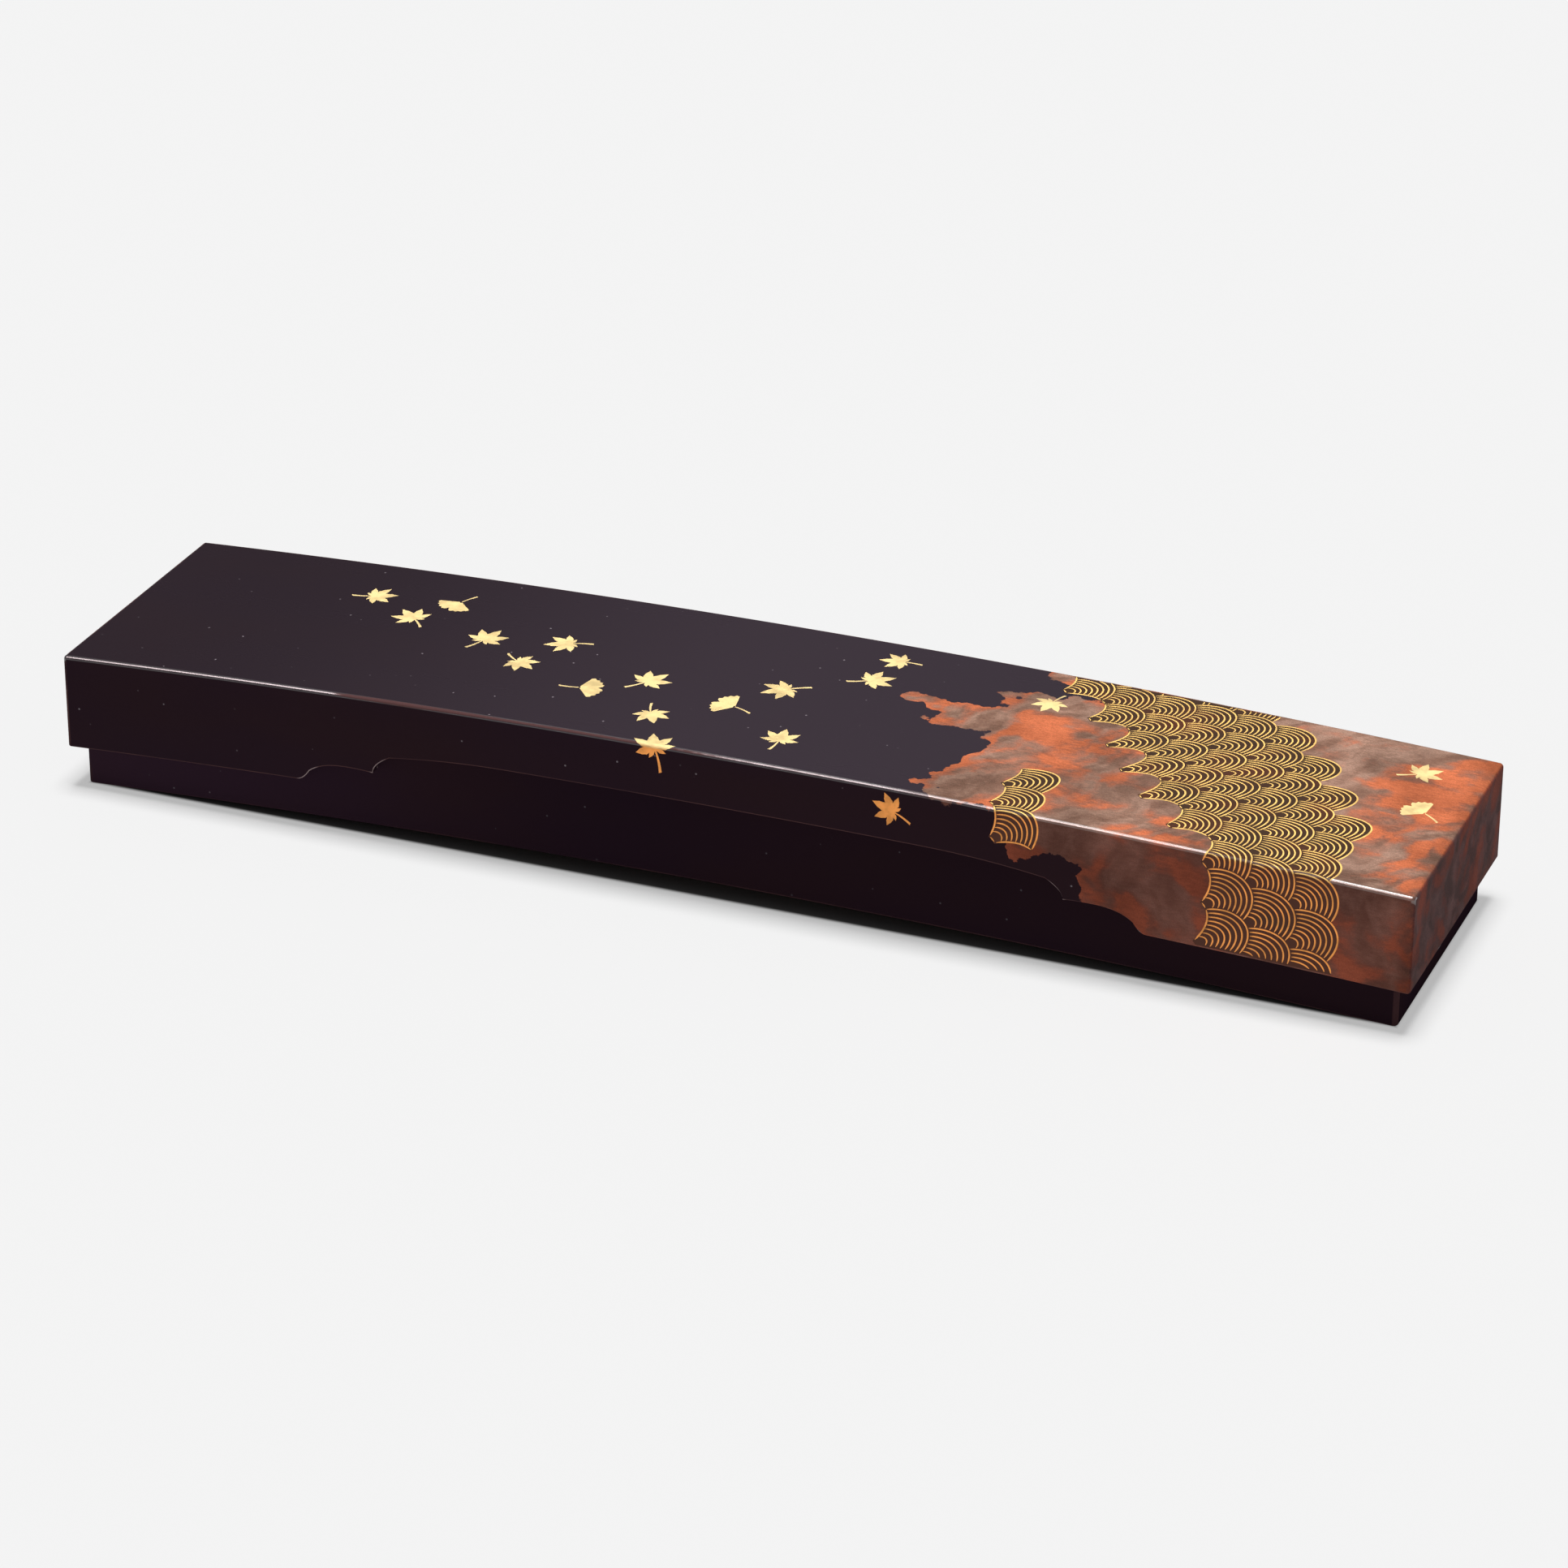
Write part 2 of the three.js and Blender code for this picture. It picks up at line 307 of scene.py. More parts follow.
def wall_ring(half_x, half_y, wall, low, high, corner):
    """A frame of four mitred walls as one ring, its upright corners rounded."""
    bm = bmesh.new()
    bmesh.ops.create_grid(bm, x_segments=1, y_segments=1, size=1)
    bmesh.ops.scale(bm, vec=(half_x, half_y, 1), verts=bm.verts[:])
    bmesh.ops.translate(bm, vec=(0, 0, low), verts=bm.verts[:])
    middle = bm.faces[:]
    bmesh.ops.inset_region(bm, faces=middle, thickness=wall, use_even_offset=True, use_boundary=True)
    bmesh.ops.delete(bm, geom=middle, context="FACES_ONLY")
    pull_out(bm, high - low)
    bmesh.ops.recalc_face_normals(bm, faces=bm.faces[:])
    inside = half_x - wall / 2
    uprights = [
        edge for edge in bm.edges
        if abs(edge.verts[0].co.z - edge.verts[1].co.z) > MM and abs(edge.verts[0].co.x) > inside
    ]
    bevel_edges(bm, uprights, corner, CORNER_FACES)
    return bm


def level_edges(bm, z):
    """Edges of a ring at one height where two faces meet at 60 degrees or more."""
    level = [
        edge for edge in bm.edges
        if len(edge.link_faces) == 2 and all(abs(vert.co.z - z) <= LEVEL for vert in edge.verts)
    ]
    return [edge for edge in level if abs(edge.link_faces[0].normal.dot(edge.link_faces[1].normal)) <= 0.5]


# Which way each wall faces
SIDES = {"front": (0, -1, 0), "back": (0, 1, 0), "left": (-1, 0, 0), "right": (1, 0, 0)}


def take_wall(ring, side, half_x, half_y):
    """A copy of one wall of a ring, cut off and closed at its two mitres."""
    bm = ring.copy()
    outward = Vector(SIDES[side])
    bisect(bm, (0, 0, 0), -outward, clear_outer=True)
    for turn in (-1, 1):
        along = turn * Vector((abs(outward.y), abs(outward.x), 0))
        corner = outward + along
        point = Vector((corner.x * half_x, corner.y * half_y, 0))
        bisect(bm, point, (along - outward).normalized(), clear_outer=True)
        bmesh.ops.holes_fill(bm, edges=[edge for edge in bm.edges if edge.is_boundary], sides=0)
    return bm


def make_walls(ring, half_x, half_y, material, body):
    """The four walls of a ring as pieces of their own, bowed."""
    for side in SIDES:
        bm = take_wall(ring, side, half_x, half_y)
        bend(bm)
        name = f"{body}_{side}_wall"
        weigh_normals(finish_piece(bm, f"{name}_lacquered", material, body, [name]))
    ring.free()


def plank(half_x, half_y, low, high):
    """A flat board as a block."""
    bm = bmesh.new()
    bmesh.ops.create_cube(bm, size=2)
    bmesh.ops.scale(bm, vec=(half_x, half_y, (high - low) / 2), verts=bm.verts[:])
    bmesh.ops.translate(bm, vec=(0, 0, (high + low) / 2), verts=bm.verts[:])
    return bm


class SLIPBOX_OT_lid(bpy.types.Operator):
    """Make the lid's board and its four walls with the cut-out rims"""

    bl_idname = "slipbox.lid"
    bl_label = "Lid"

    def execute(self, context):
        shape = context.scene.slipbox_shape
        material = lid_lacquer(context.scene.slipbox_colours)
        curve = rim_curve(shape)
        places = stations(LID_X, shape.station, curve)

        board = plank(LID_X, LID_Y, LID_UNDER, LID_TOP)
        edges = [edge for edge in board.edges if max(v.co.z for v in edge.verts) > LID_TOP - MM]
        bevel_edges(board, edges, shape.arris, CORNER_FACES)
        mark_wear(board)
        for x in places:
            cut_at(board, x, 0)
        bend(board)
        name = "lid_top_board"
        weigh_normals(finish_piece(board, f"{name}_lacquered", material, "lid", [name]))

        ring = wall_ring(LID_X, LID_Y, LID_WALL, LID_RIM, LID_UNDER, shape.lid_corner)
        bevel_edges(ring, level_edges(ring, LID_RIM), shape.rim_round, RIM_FACES)
        mark_wear(ring)
        for x in places:
            cut_at(ring, x, 0)
        for vert in ring.verts:
            if vert.co.z < LID_RIM + shape.rim_round * 2:
                vert.co.z += rim_lift(vert.co.x, curve)
        make_walls(ring, LID_X, LID_Y, material, "lid")
        return {"FINISHED"}


class SLIPBOX_OT_box(bpy.types.Operator):
    """Make the box's four walls and lacquer its bottom board"""

    bl_idname = "slipbox.box"
    bl_label = "Box"

    def execute(self, context):
        shape = context.scene.slipbox_shape
        material = box_lacquer(context.scene.slipbox_colours)
        ring = wall_ring(BOX_X, BOX_Y, BOX_WALL, 0, BOX_TOP, shape.box_corner)
        bevel_edges(ring, level_edges(ring, 0), shape.foot_round, RIM_FACES)
        bevel_edges(ring, level_edges(ring, BOX_TOP), shape.lip_round, LIP_FACES)
        mark_wear(ring)
        for x in stations(BOX_X, shape.station):
            cut_at(ring, x, 0)
        make_walls(ring, BOX_X, BOX_Y, material, "box")
        give_material(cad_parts["box_bottom_board"], material)
        return {"FINISHED"}


class SLIPBOX_OT_joinery(bpy.types.Operator):
    """Give the hidden splines and pins their bare wood and bamboo"""

    bl_idname = "slipbox.joinery"
    bl_label = "Joinery"

    def execute(self, context):
        colours = context.scene.slipbox_colours
        timber = bare_wood("timber", colours.timber, 1.6)
        bamboo = bare_wood("bamboo", colours.bamboo, 0.5)
        for name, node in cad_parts.items():
            if "_spline_" in name:
                give_material(node, timber)
            if "_pin_" in name:
                give_material(node, bamboo)
        return {"FINISHED"}


# The drawing is made flat, as U along the lid, V across it and down its front, and H out of the face
ARRIS_STEPS = 6  # parts that the drawing is cut into where it goes round the front arris


def wrap(bm, shape):
    """Lays a flat drawing over the lid: its top, the front arris and the front, then the bow."""
    radius = shape.arris
    turn = -(LID_Y - radius)
    if min(vert.co.y for vert in bm.verts) < turn:
        for i in range(ARRIS_STEPS + 1):
            cut_at(bm, turn - 2 * radius * i / ARRIS_STEPS, 1)
    for vert in bm.verts:
        u, v, h = vert.co
        past = min(max((turn - v) / radius, 0), 2)
        angle = math.pi / 4 + math.asin((past - 1) / math.sqrt(2))
        y = max(v, turn) - radius * math.sin(angle)
        z = LID_TOP - radius * (1 - math.cos(angle)) - max(turn - v - 2 * radius, 0)
        normal = Vector((0, -math.sin(angle), math.cos(angle)))
        vert.co = Vector((u, y, z + bow(u))) + normal * h


# The wave field, in millimetres: half the width of one wave, spacing of its lines, stretch along its axis,
# lean from V, middle along U, and how far it sways along U and V and over what length
WAVE_CELL = 8.8
WAVE_PITCH = 0.98
WAVE_STRETCH = 1.8
WAVE_LEAN = math.radians(-52)
WAVE_MIDDLE = 130
WAVE_SWAY = ((2.5, 13), (2, 17))
WAVES_IN_FRONT = ((-1, -0.5), (1, -0.5), (0, -1))

# The waves of the field: row, first column and last column
WAVE_ROWS = (
    (-9, 0, 0), (-8, 0, 0), (-7, -1, -1), (-6, 4, 5), (-5, 3, 5), (-4, 3, 5),
    (-3, -4, 4), (-2, -4, 4), (-1, -5, 3), (0, -5, 3), (1, -5, 2), (2, -4, 2),
)
WAVES = [
    ((2 * column + row % 2) * WAVE_CELL, row * WAVE_CELL / 2)
    for row, first, last in WAVE_ROWS for column in range(first, last + 1)
]

# Clearances in millimetres: between a line and what ends it, over the rim, before the back edge, and how far
# out the rim is raised
LINE_GAP = 0.3
RIM_MARGIN = 0.6
BACK_MARGIN = 1.2
RIM_RAISED = 126

# The wave lines, in millimetres: width, border's distance out of a wave, spacing of points tried and of points
# kept. Then fewest points tried in a line, and shares of the width at its last two points.
LINE_WIDTH = 0.54
BORDER_OUT = 0.16
LINE_FINE = 0.25
LINE_SPACING = 1
LINE_FEWEST = 6
LINE_ENDS = (0.45, 0.85)
PLATE_HEIGHT = PROUD / 5
PLATE_STEP = 8  # how often the plates behind the lines are cut, to follow the bow


def wave_place(across, along):
    """Lays the even wave field on the sheet: stretched, leaning and swaying."""
    along *= WAVE_STRETCH
    u = across * math.cos(WAVE_LEAN) - along * math.sin(WAVE_LEAN) + WAVE_MIDDLE
    v = across * math.sin(WAVE_LEAN) + along * math.cos(WAVE_LEAN)
    (sway_u, length_u), (sway_v, length_v) = WAVE_SWAY
    return u + sway_u * math.sin(v / length_u), v + sway_v * math.sin(u / length_v)


def wave_beside(centre, step):
    """Centre of the wave that lies some steps across and along from another."""
    return centre[0] + step[0] * WAVE_CELL, centre[1] + step[1] * WAVE_CELL


def wave_seen(point, centre, apart_from):
    """Whether a point of one wave is clear of the three waves in front of it, or of all but one of them."""
    return all(
        math.dist(point, wave_beside(centre, step)) >= WAVE_CELL + LINE_GAP
        for step in WAVES_IN_FRONT if step != apart_from
    )


def rim_low(u):
    """The lowest V of the lid's front at a place along it."""
    curve = rim_curve(bpy.context.scene.slipbox_shape)
    return -(LID_Y + LID_TOP - LID_RIM - rim_lift(u * MM, curve)) / MM + RIM_MARGIN


SHEET_BACK = LID_SIDE - BACK_MARGIN
# Arcs round the seen part of a wave: step to each one's centre, first and last degree, and count of points
WAVE_ARCS = (
    (0, 0, 29.4, 150.6, 14), (-1, -0.5, 82.6, 29.4, 7), (0, -1, 97.4, 82.6, 2), (1, -0.5, 150.6, 97.4, 7),
)


def wave_outline(centre):
    """Outline of the part of one wave that is seen: its own crest, then the crests of the waves in front."""
    points = []
    for across, along, first, last, steps in WAVE_ARCS:
        for i in range(steps):
            angle = math.radians(first + (last - first) * i / steps)
            out = across + math.cos(angle), along + math.sin(angle)
            points.append(wave_place(*wave_beside(centre, out)))
    return points


def drawn_waves():
    """Centres of the waves that don't cross the raised part of the rim."""
    return [
        centre for centre in WAVES
        if all(v >= rim_low(u) for u, v in wave_outline(centre) if u < RIM_RAISED)
    ]


def wave_runs():
    """Runs of evenly spaced points for the arcs of the overlapping waves."""
    runs, waves = [], drawn_waves()
    for centre in waves:
        for ring in range(int(WAVE_CELL / WAVE_PITCH)):
            runs += arc_runs(centre, WAVE_CELL - ring * WAVE_PITCH)
        for step in WAVES_IN_FRONT:
            front = wave_beside(centre, step)
            if all(math.dist(front, other) > LINE_GAP for other in waves):
                runs += arc_runs(centre, WAVE_CELL + BORDER_OUT, step)
    return runs


def arc_runs(centre, radius, border=(0, 0)):
    """The parts of one arc of a wave that are seen and lie on the lid.

    A border goes round the place of a wave in front, which is the border's step away.
    """
    middle = wave_beside(centre, border)
    runs, run = [], []
    count = round(math.pi * radius * WAVE_STRETCH / LINE_FINE)
    for i in range(count + 1):
        angle = math.pi * i / count
        point = middle[0] + radius * math.cos(angle), middle[1] + radius * math.sin(angle)
        u, v = wave_place(*point)
        inside = middle == centre or math.dist(point, centre) < WAVE_CELL
        if inside and wave_seen(point, centre, border) and rim_low(u) + LINE_GAP < v < SHEET_BACK:
            run.append((u, v))
        else:
            runs.append(run)
            run = []
    runs.append(run)
    return [thin_run(run) for run in runs if len(run) > LINE_FEWEST]


def thin_run(run):
    """A run of points thinned to the lines' spacing, its two ends kept."""
    count = max(2, round(len(run) * LINE_FINE / LINE_SPACING))
    return [run[round(i * (len(run) - 1) / count)] for i in range(count + 1)]


def wave_plates():
    """A bmesh of thin dark plates, one behind the lines of each wave."""
    bm = bmesh.new()
    for centre in drawn_waves():
        flat = bmesh.new()
        flat.faces.new([flat.verts.new((u, v, PLATE_HEIGHT / MM)) for u, v in wave_outline(centre)])
        bmesh.ops.triangulate(flat, faces=flat.faces[:])
        bmesh.ops.scale(flat, vec=(MM, MM, MM), verts=flat.verts[:])
        for place, side in ((SHEET_BACK, 1), (rim_low(LID_END), -1)):
            bisect(flat, (0, place * MM, 0), (0, side, 0), clear_outer=True)
        close_blade(bm, flat, PLATE_HEIGHT)
    for i in range(math.floor(LID_END / PLATE_STEP)):
        cut_at(bm, i * PLATE_STEP * MM, 0)
    return bm


def drawn_lines(runs):
    """A bmesh of closed, tapered, ridged lines along runs of points, lying in the U and V plane."""
    curve = bpy.data.curves.new("lines", "CURVE")
    curve.dimensions = "3D"
    curve.twist_mode = "Z_UP"
    curve.bevel_mode = "ROUND"
    curve.bevel_depth = LINE_WIDTH / 2 * MM
    curve.bevel_resolution = 0
    curve.use_fill_caps = True
    for run in runs:
        spline = curve.splines.new("POLY")
        spline.points.add(len(run) - 1)
        for i, (u, v) in enumerate(run):
            end = min(i, len(run) - 1 - i)
            spline.points[i].co = (u * MM, v * MM, 0, 1)
            spline.points[i].radius = LINE_ENDS[end] if end < len(LINE_ENDS) else 1
    holder = add_object("lines", curve)
    mesh = bpy.data.meshes.new_from_object(holder.evaluated_get(bpy.context.evaluated_depsgraph_get()))
    bm = bmesh.new()
    bm.from_mesh(mesh)
    bpy.data.objects.remove(holder)
    bpy.data.curves.remove(curve)
    bpy.data.meshes.remove(mesh)
    bmesh.ops.remove_doubles(bm, verts=bm.verts[:], dist=WELD)
    bmesh.ops.scale(bm, vec=(1, 1, PROUD / MM / (LINE_WIDTH / 2)), verts=bm.verts[:])
    return bm


class SLIPBOX_OT_waves(bpy.types.Operator):
    """Draw the gold wave lines"""

    bl_idname = "slipbox.waves"
    bl_label = "Waves"

    def execute(self, context):
        shape, colours = context.scene.slipbox_shape, context.scene.slipbox_colours
        plates = wave_plates()
        wrap(plates, shape)
        finish_piece(plates, "wave_ground", wave_ground(colours), "lid")
        lines = drawn_lines(wave_runs())
        wrap(lines, shape)
        gold = gold_powder("line_gold", colours.line_gold, colours.painted_side_gold)
        finish_piece(lines, "gold_wave_lines", gold, "lid")
        return {"FINISHED"}


# Leaves: U, V, turn in degrees, size in millimetres and whether it is a fan-shaped one
LEAVES = (
    (-131, 21, 20, 12.5), (-113, 10, 140, 13), (-105, 25, 250, 11, True), (-88, 3, 75, 13.5),
    (-73, -7, 330, 12), (-64, 9, 205, 13), (-50, -17, 15, 11.5, True), (-34, -7, 60, 13.5),
    (-25, -25, 300, 12), (-16, -44.6, 112, 14), (-5, -13, 165, 11.5, True), (4, 3, 220, 13.5),
    (14, -28, 95, 12.5), (23, 17, 35, 13), (27, 32, 190, 11.5), (53, -50.3, 160, 11),
    (74, 24, 260, 11.5), (178, 26, 40, 12.5), (186, 4, 150, 11, True),
)
# Lobes of a maple leaf: turn in degrees and share of the leaf's reach
LOBES = ((-128, 0.42), (-88, 0.74), (-44, 0.92), (0, 1), (44, 0.92), (88, 0.74), (128, 0.42))
# Blades of a maple leaf's lobes and of a stalk, as shares of their length: place along, across and half width
LOBE = (
    (0, 0, 0.04), (0.2, 0, 0.12), (0.36, 0, 0.15), (0.5, 0, 0.205),
    (0.56, 0, 0.175), (0.72, 0, 0.15), (0.78, 0, 0.11), (1, 0, 0),
)
STALK = (
    (0, 0, 0.03), (-0.2, 0.0064, 0.037), (-0.4, 0.0256, 0.044),
    (-0.6, 0.0576, 0.051), (-0.8, 0.1024, 0.058), (-1, 0.16, 0.065),
)
MAPLE_REACH = 0.58  # shares of a leaf's size
FAN_REACH = 0.62
STALK_LENGTH = 0.5
STALK_HEIGHT = 0.8  # share of the leaf's height
FAN_PLEATS = 9
FAN_SPREAD = math.radians(128)
FAN_ROOT = 0.08  # shares of the fan's reach, and of its height for the last
FAN_CLEFT = 0.72
FAN_NOTCH = 0.08
FAN_FOLD = 0.3
SUNK = 1.5  # how far a drawn form reaches down into the lacquer, as a share of its height


def add_blade(bm, outline, length, thickness):
    """A closed blade with a ridge down its middle."""
    blade = bmesh.new()
    count = len(outline) - 1
    made = bmesh.ops.create_grid(blade, x_segments=count, y_segments=2, size=0.5)
    for vert in made["verts"]:
        along, across, half_width = (share * length for share in outline[round((vert.co.x + 0.5) * count)])
        side = vert.co.y * 2
        vert.co = Vector((along, across + side * half_width, thickness if abs(side) < 0.5 else 0))
    close_blade(bm, blade, thickness)


def close_blade(bm, blade, thickness):
    """Gives an open sheet its underside, sunk into the lacquer, and adds it to the drawing."""
    bmesh.ops.remove_doubles(blade, verts=blade.verts[:], dist=LEVEL)
    pull_out(blade, -thickness * SUNK)
    mesh = as_mesh(blade, "blade")
    bm.from_mesh(mesh)
    bpy.data.meshes.remove(mesh)


def turn_about(bm, verts, degrees):
    """Turns some points of a flat drawing about its origin."""
    bmesh.ops.rotate(bm, verts=verts, matrix=Matrix.Rotation(math.radians(degrees), 3, "Z"))


def add_maple(bm, reach):
    """Seven notched lobes that fan out from the heart of a leaf."""
    for turn, share in LOBES:
        start = len(bm.verts)
        add_blade(bm, LOBE, reach * share, PROUD)
        bm.verts.ensure_lookup_table()
        turn_about(bm, bm.verts[start:], turn)


def add_fan(bm, reach):
    """A fan-shaped leaf of narrow pleats with a cleft in its middle."""
    fan = bmesh.new()
    made = bmesh.ops.create_grid(fan, x_segments=3, y_segments=FAN_PLEATS * 2, size=0.5)
    for vert in made["verts"]:
        place = round((vert.co.y + 0.5) * FAN_PLEATS * 2)
        cleft = FAN_CLEFT if place == FAN_PLEATS else 1 - FAN_NOTCH * (place % 2 == 0)
        angle = FAN_SPREAD * vert.co.y
        radius = reach * (FAN_ROOT + (1 - FAN_ROOT) * (vert.co.x + 0.5) * cleft)
        height = PROUD if place % 2 else PROUD * FAN_FOLD
        vert.co = Vector((radius * math.cos(angle), radius * math.sin(angle), height))
    close_blade(bm, fan, PROUD)


def make_leaf(u, v, turn, size, fan=False):
    """One leaf, drawn flat at its place: seven notched lobes or a fan, and a thin curved stalk."""
    bm = bmesh.new()
    if fan:
        add_fan(bm, size * MM * FAN_REACH)
    else:
        add_maple(bm, size * MM * MAPLE_REACH)
    add_blade(bm, STALK, size * MM * STALK_LENGTH, PROUD * STALK_HEIGHT)
    turn_about(bm, bm.verts[:], turn)
    bmesh.ops.translate(bm, vec=(u * MM, v * MM, 0), verts=bm.verts[:])
    return bm


class SLIPBOX_OT_leaves(bpy.types.Operator):
    """Scatter the small gold leaves over the lid"""

    bl_idname = "slipbox.leaves"
    bl_label = "Leaves"

    def execute(self, context):
        shape, colours = context.scene.slipbox_shape, context.scene.slipbox_colours
        material = gold_powder("leaf_gold", colours.gold, colours.painted_side_gold)
        for index, leaf in enumerate(LEAVES):
            bm = make_leaf(*leaf)
            wrap(bm, shape)
            finish_piece(bm, f"gold_leaf_{index + 1:02d}", material, "lid", sharp_deg=12)
        return {"FINISHED"}


# Materials

# Noise patterns: scale, per metre or per millimetre of the unrolled lid, then detail and roughness
CAST = (9, 22, 22), 3, 0.55
POLISH = (16, 45, 45), 4, 0.6
WEAR_PATCHES = (13, 55, 55), 3, 0.6
WEAR_CHIPS = (420, 900, 900), 2, 0.6
BROAD_RIPPLE = (22, 60, 60), 2, 0.5
FINE_RIPPLE = (300, 900, 900), 3, 0.6
STAINS = (50, 90, 90), 3, 0.5
THIN_POWDER = (160, 160, 160), 3, 0.6
POWDER_GRAIN = (4200, 4200, 4200), 2, 0.7
SWIRL = 0.03, 3, 0.5
SWAY = 0.05, 2, 0.5
RAGGED = 0.42, 3, 0.6
CLOUDS = (0.03, 0.07, 0.06), 2, 0.5
WISPS = (0.07, 0.2, 0.15), 3, 0.5
FIBRES = (0.35, 1.1, 1.1), 4, 0.65
GRAIN = (2.6, 3.2, 3.2), 2, 0.7
NOISE_SPAN = 0.3, 0.7  # most values of a noise lie between these
FLECK_CELLS = 260

# Places on the lid, in millimetres: depths at which its top gives way to its sides, in lacquer and in gold,
# stretches of handled arris and of rim slopes with a painted glint, the depths below which that glint is
# painted, and the thickness of its outside
SIDE_DEPTH = 0.3, 1.2
GOLD_SIDE_DEPTH = 0.4, 1.4
HANDLED = (-117, -105), (-38, 52)
STEEP_SLOPE = (96.5, 98.5), (101, 102.5)
FOOT_SLOPE = (117.5, 119.5), (123.5, 125)
RIM_DEPTH = 12, 15
SKIN = 1.3


class Graph:
    """A node tree with short calls to add and link nodes, g for short."""

    def __init__(self, tree):
        self.tree = tree

    def put(self, socket, value):
        """Links a socket or node to an input, or sets the input's own value."""
        if isinstance(value, bpy.types.Node):
            value = value.outputs[0]
        if isinstance(value, bpy.types.NodeSocket):
            self.tree.links.new(value, socket)
        elif hasattr(value, "__len__") and len(value) == 3 and socket.type == "RGBA":
            socket.default_value = (*value, 1)
        else:
            socket.default_value = value

    def fill(self, node, inputs):
        """Puts each value into the node's input of that name or number."""
        for key, value in inputs.items():
            self.put(node.inputs[key], value)

    def add(self, kind, inputs=None, **settings):
        """Adds a node with its settings and inputs."""
        node = self.tree.nodes.new("ShaderNode" + kind)
        for key, value in settings.items():
            setattr(node, key, value)
        self.fill(node, inputs or {})
        return node

    def use(self, build, inputs=None):
        """Places the node group that a function builds."""
        return self.add("Group", inputs, node_tree=group(build))

    def math(self, operation, *values):
        """The result of a Math node."""
        return self.add("Math", dict(enumerate(values)), operation=operation).outputs[0]

    plus = partialmethod(math, "ADD")
    minus = partialmethod(math, "SUBTRACT")
    times = partialmethod(math, "MULTIPLY")
    greater = partialmethod(math, "MAXIMUM")
    size = partialmethod(math, "ABSOLUTE")

    def scale(self, colour, factor):
        """A colour or vector times one value."""
        return self.add("VectorMath", {0: colour, "Scale": factor}, operation="SCALE").outputs[0]

    def tint(self, colour, tint):
        """A colour times another."""
        return self.add("VectorMath", {0: colour, 1: tint}, operation="MULTIPLY").outputs[0]

    def mix(self, factor, first, second):
        """Blends two colours."""
        return self.add("Mix", {0: factor, 6: first, 7: second}, data_type="RGBA").outputs[2]

    def range(self, value, low, high, to_low=0, to_high=1):
        """Maps a value smoothly from one range to another."""
        inputs = dict(enumerate((value, low, high, to_low, to_high)))
        return self.add("MapRange", inputs, interpolation_type="SMOOTHSTEP").outputs[0]

    def between(self, value, rise, fall):
        """A mask that rises to 1 over one stretch of a value and falls back to 0 over another."""
        return self.times(self.range(value, *rise), self.range(value, *fall, 1, 0))

    def outside(self, x, y, half_x, half_y):
        """How far a place lies outside a rectangle round the origin, negative inside."""
        return self.greater(self.minus(self.size(x), half_x), self.minus(self.size(y), half_y))

    def place(self):
        """The place on the object, in metres."""
        return self.add("TexCoord").outputs["Object"]

    def split(self, place):
        """The X, Y and Z of a place."""
        return self.add("SeparateXYZ", {0: place}).outputs

    def noise(self, pattern, place=None, output="Fac"):
        """A noise texture of a pattern, laid on the object unless another place is given."""
        scale, detail, roughness = pattern
        place = self.place() if place is None else place
        if isinstance(scale, tuple):
            place, scale = self.add("Mapping", {"Vector": place, "Scale": scale}), 1
        inputs = {"Vector": place, "Scale": scale, "Detail": detail, "Roughness": roughness}
        return self.add("TexNoise", inputs).outputs[output]

    def bump(self, shader, height, distance, strength):
        """Bends a shader's normal by a height."""
        bump = self.add("Bump", {"Height": height, "Distance": distance, "Strength": strength})
        self.put(shader.inputs["Normal"], bump)


def group(build):
    """The shader node group that a function builds, made once."""
    name, inputs, outputs = GROUPS[build]
    if name in bpy.data.node_groups:
        return bpy.data.node_groups[name]
    tree = bpy.data.node_groups.new(name, "ShaderNodeTree")
    for way, labels in (("INPUT", inputs), ("OUTPUT", outputs)):
        for label in labels:
            kind = "Vector" if label.endswith("Place") else "Float"
            tree.interface.new_socket(name=label, in_out=way, socket_type="NodeSocket" + kind)
    g = Graph(tree)
    entry = tree.nodes.new("NodeGroupInput")
    leave = tree.nodes.new("NodeGroupOutput")
    for socket, value in zip(leave.inputs, build(g, *entry.outputs[:len(inputs)])):
        g.put(socket, value)
    return tree


def lid_sheet(g):
    """Unrolled place on the lid in millimetres, and whether a point lies on its outside."""
    x, y, z = (g.times(part, 1 / MM) for part in g.split(g.place()))
    fall = g.times(g.times(x, x), MM / (2 * BOW_RADIUS))
    level = g.plus(g.minus(z, BOW_RISE / MM), fall)
    depth = g.minus(LID_TOP / MM, level)
    v = g.plus(y, g.times(g.math("SIGN", y), g.greater(depth, 0)))
    beyond = g.outside(x, y, LID_END - SKIN, LID_SIDE - SKIN)
    outside = g.greater(beyond, g.minus(SKIN, depth))
    flat = g.add("CombineXYZ", {0: x, 1: y, 2: level})
    return x, v, g.range(outside, -0.2, 0.2), depth, flat


def stroke(g, u, v, start_u, start_v, end_u, end_v, half_width):
    """Distance outside one round-ended stroke."""

    def dot(a, b, c, d):
        return g.plus(g.times(a, b), g.times(c, d))

    along_u, along_v = g.minus(end_u, start_u), g.minus(end_v, start_v)
    off_u, off_v = g.minus(u, start_u), g.minus(v, start_v)
    length = dot(along_u, along_u, along_v, along_v)
    share = g.math("DIVIDE", dot(off_u, along_u, off_v, along_v), length)
    share = g.math("MINIMUM", g.greater(share, 0), 1)
    left_u = g.minus(off_u, g.times(along_u, share))
    left_v = g.minus(off_v, g.times(along_v, share))
    return (g.minus(g.math("SQRT", dot(left_u, left_u, left_v, left_v)), half_width),)


